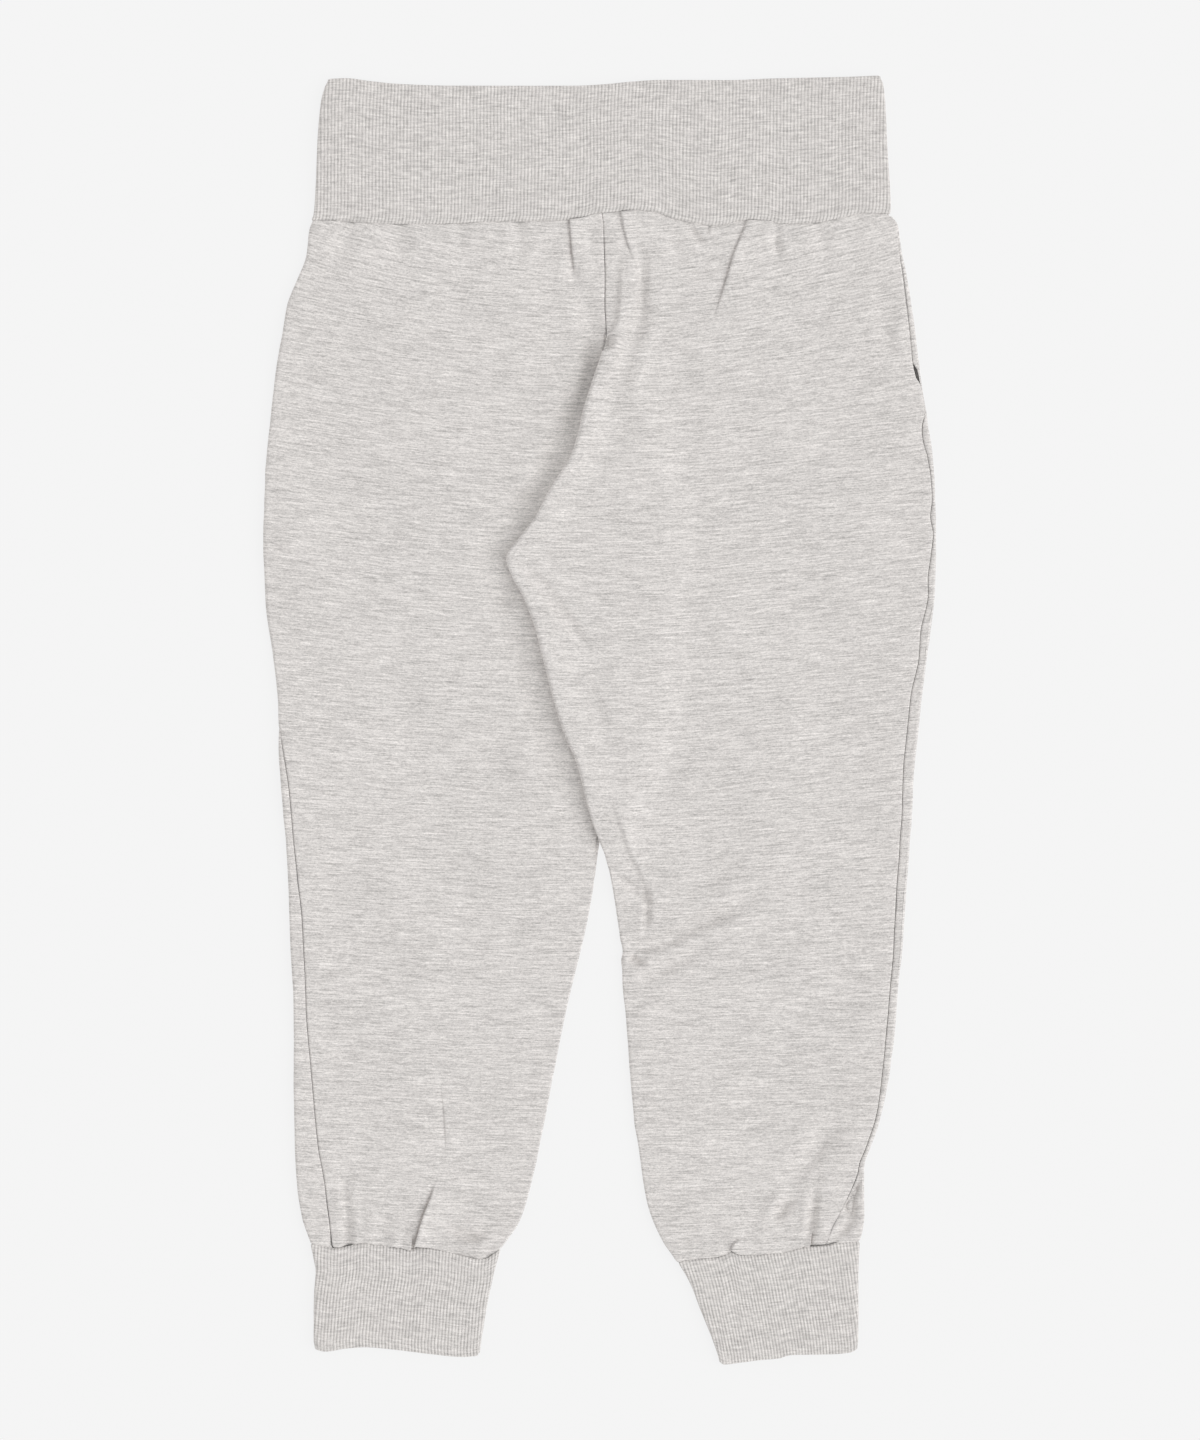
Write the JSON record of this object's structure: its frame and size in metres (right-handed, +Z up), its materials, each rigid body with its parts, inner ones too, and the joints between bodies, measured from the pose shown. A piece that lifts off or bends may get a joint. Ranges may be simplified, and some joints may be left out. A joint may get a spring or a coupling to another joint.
{
  "type": "jogger sweatpants",
  "caption": "Heather jersey jogger sweatpants laid flat, front up, with a wide ribbed waistband, ribbed cuffs and side pockets, one half folded over the other at the crotch",
  "frame": {"origin": "centre of the bounding box in X and Y, on the surface that the garment lies on", "axes": "+Y runs from the cuffs to the waistband, +X is the wearer's left, +Z is up from the surface and out of the front panels"},
  "size_m": [0.501, 0.957, 0.0104],
  "materials": {
    "heather_jersey": "matt brushed melange jersey",
    "heather_rib": "matt melange rib knit",
    "pocket_cloth": "matt thin jersey"
  },
  "bodies": {
    "root": {"front_left": "heather_jersey", "front_right": "heather_jersey", "back_left": "heather_jersey", "back_right": "heather_jersey", "waistband": "heather_rib", "cuff_left": "heather_rib", "cuff_right": "heather_rib", "pocket_left": "pocket_cloth", "pocket_right": "pocket_cloth"}
  },
  "joints": []
}
